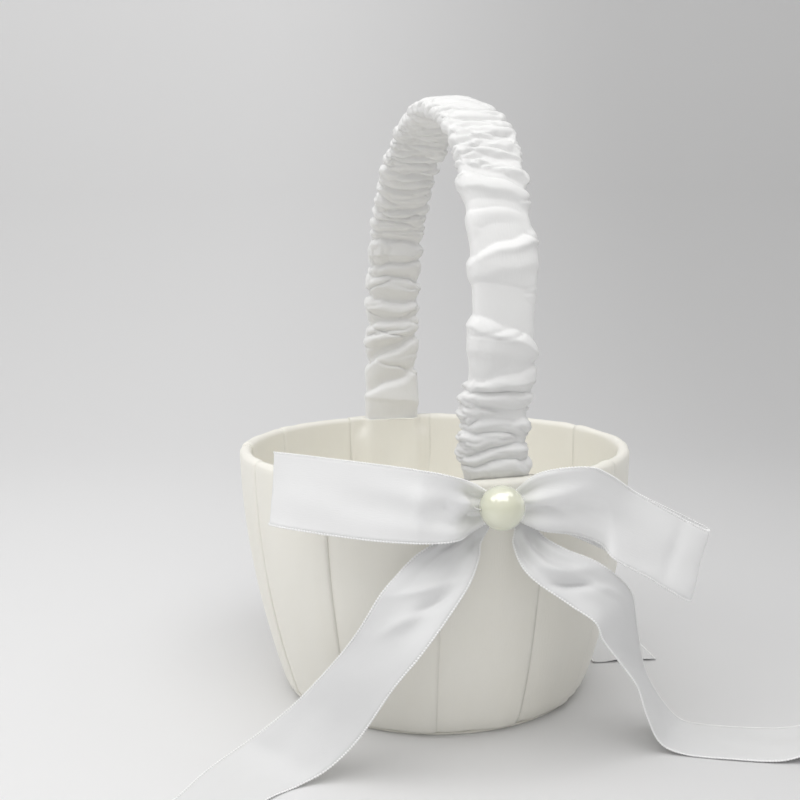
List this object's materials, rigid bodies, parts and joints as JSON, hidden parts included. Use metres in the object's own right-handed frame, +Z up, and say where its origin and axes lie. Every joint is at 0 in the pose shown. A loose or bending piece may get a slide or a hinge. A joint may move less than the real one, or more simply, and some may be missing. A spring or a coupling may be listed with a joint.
{
  "type": "flower girl basket",
  "caption": "Small round tapered wedding basket covered in pleated satin strips, with an arched gathered-satin handle, ribbon bows and pearls on a flat base.",
  "frame": {"origin": "centre of the base's underside, on the surface that the basket stands on", "axes": "+Z up; the handle's arch lies in the plane x = 0; -Y towards the front bow, +Y towards the rear bow; +X to the right seen from the front"},
  "size_m": [0.232, 0.2278, 0.2175],
  "materials": {
    "board": "plain pressed board, hidden under the satin",
    "ivory_satin": "ivory satin with a soft sheen",
    "white_satin": "white satin, tightly gathered",
    "ribbon": "white satin ribbon with stitched edges",
    "band_plastic": "plain moulded strip, hidden in the sleeve",
    "steel": "bright wire",
    "thread": "white polyester thread",
    "pearl": "pearlescent cream coating"
  },
  "bodies": {
    "root": {"core_wall": "board", "core_base": "board", "underside_disc": "ivory_satin", "lining_disc": "ivory_satin", "rim_wire": "steel", "panel_01": "ivory_satin", "panel_02": "ivory_satin", "panel_03": "ivory_satin", "panel_04": "ivory_satin", "panel_05": "ivory_satin", "panel_06": "ivory_satin", "panel_07": "ivory_satin", "panel_08": "ivory_satin", "panel_09": "ivory_satin", "panel_10": "ivory_satin", "panel_11": "ivory_satin", "panel_12": "ivory_satin", "foot_cover_front": "ivory_satin", "foot_cover_rear": "ivory_satin", "handle_band": "band_plastic", "handle_sleeve": "white_satin", "staple_front_1": "steel", "staple_front_2": "steel", "staple_rear_1": "steel", "staple_rear_2": "steel", "front_bow_loops": "ribbon", "front_bow_tails": "ribbon", "front_bow_thread": "thread", "front_pearl": "pearl", "rear_bow_loops": "ribbon", "rear_bow_tails": "ribbon", "rear_bow_thread": "thread", "rear_pearl": "pearl"}
  },
  "joints": []
}
